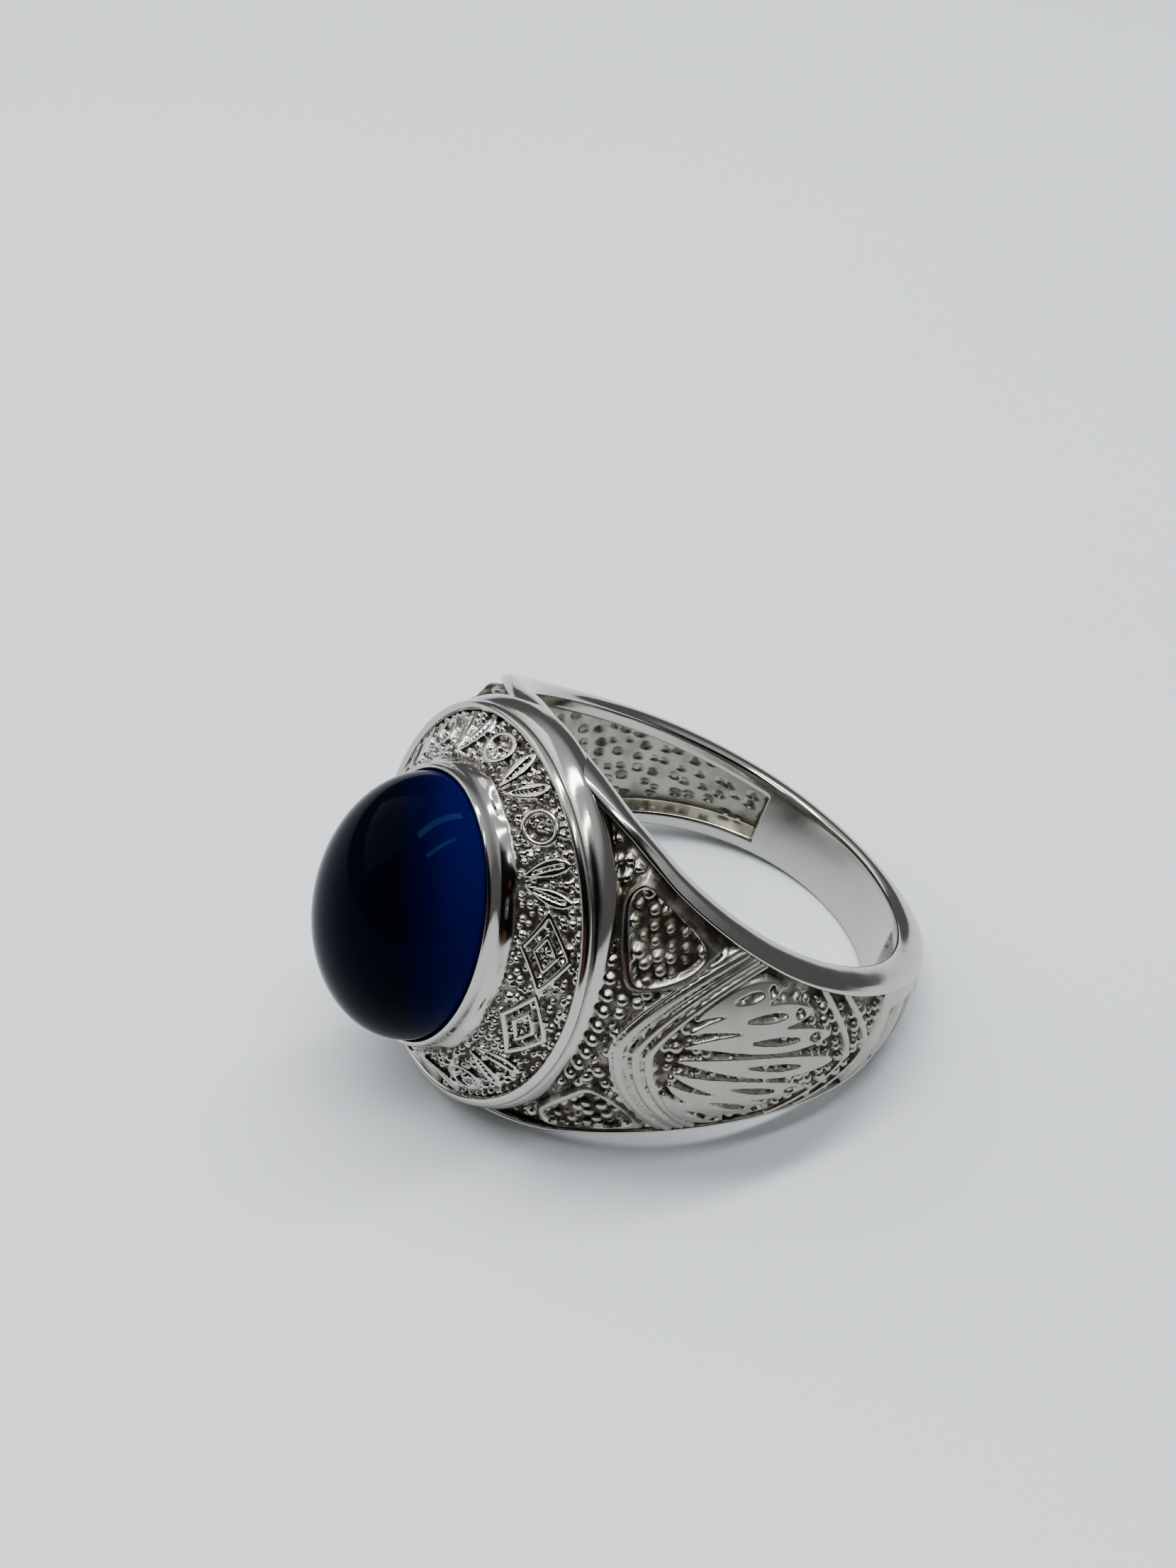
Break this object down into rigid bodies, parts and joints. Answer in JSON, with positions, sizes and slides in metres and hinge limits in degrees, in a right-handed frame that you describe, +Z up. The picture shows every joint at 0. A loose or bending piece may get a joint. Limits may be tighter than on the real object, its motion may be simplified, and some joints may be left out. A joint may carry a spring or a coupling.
{
  "type": "class ring",
  "caption": "Cast silver class ring with an oval blue cabochon in a smooth bezel, an ornament panel and relief on both shoulders.",
  "frame": {"origin": "middle of the base of the ring's box, on the surface that the ring lies on", "axes": "+Z up, -Y towards the stone, X across the head; the finger axis leans from +Z by the angle at which the ring rests"},
  "size_m": [0.0234, 0.028, 0.0169],
  "materials": {
    "silver": "polished cast silver, darkened in the recesses",
    "stone": "polished deep blue cabochon"
  },
  "bodies": {
    "root": {"ring_body": "silver", "cabochon": "stone"}
  },
  "joints": []
}
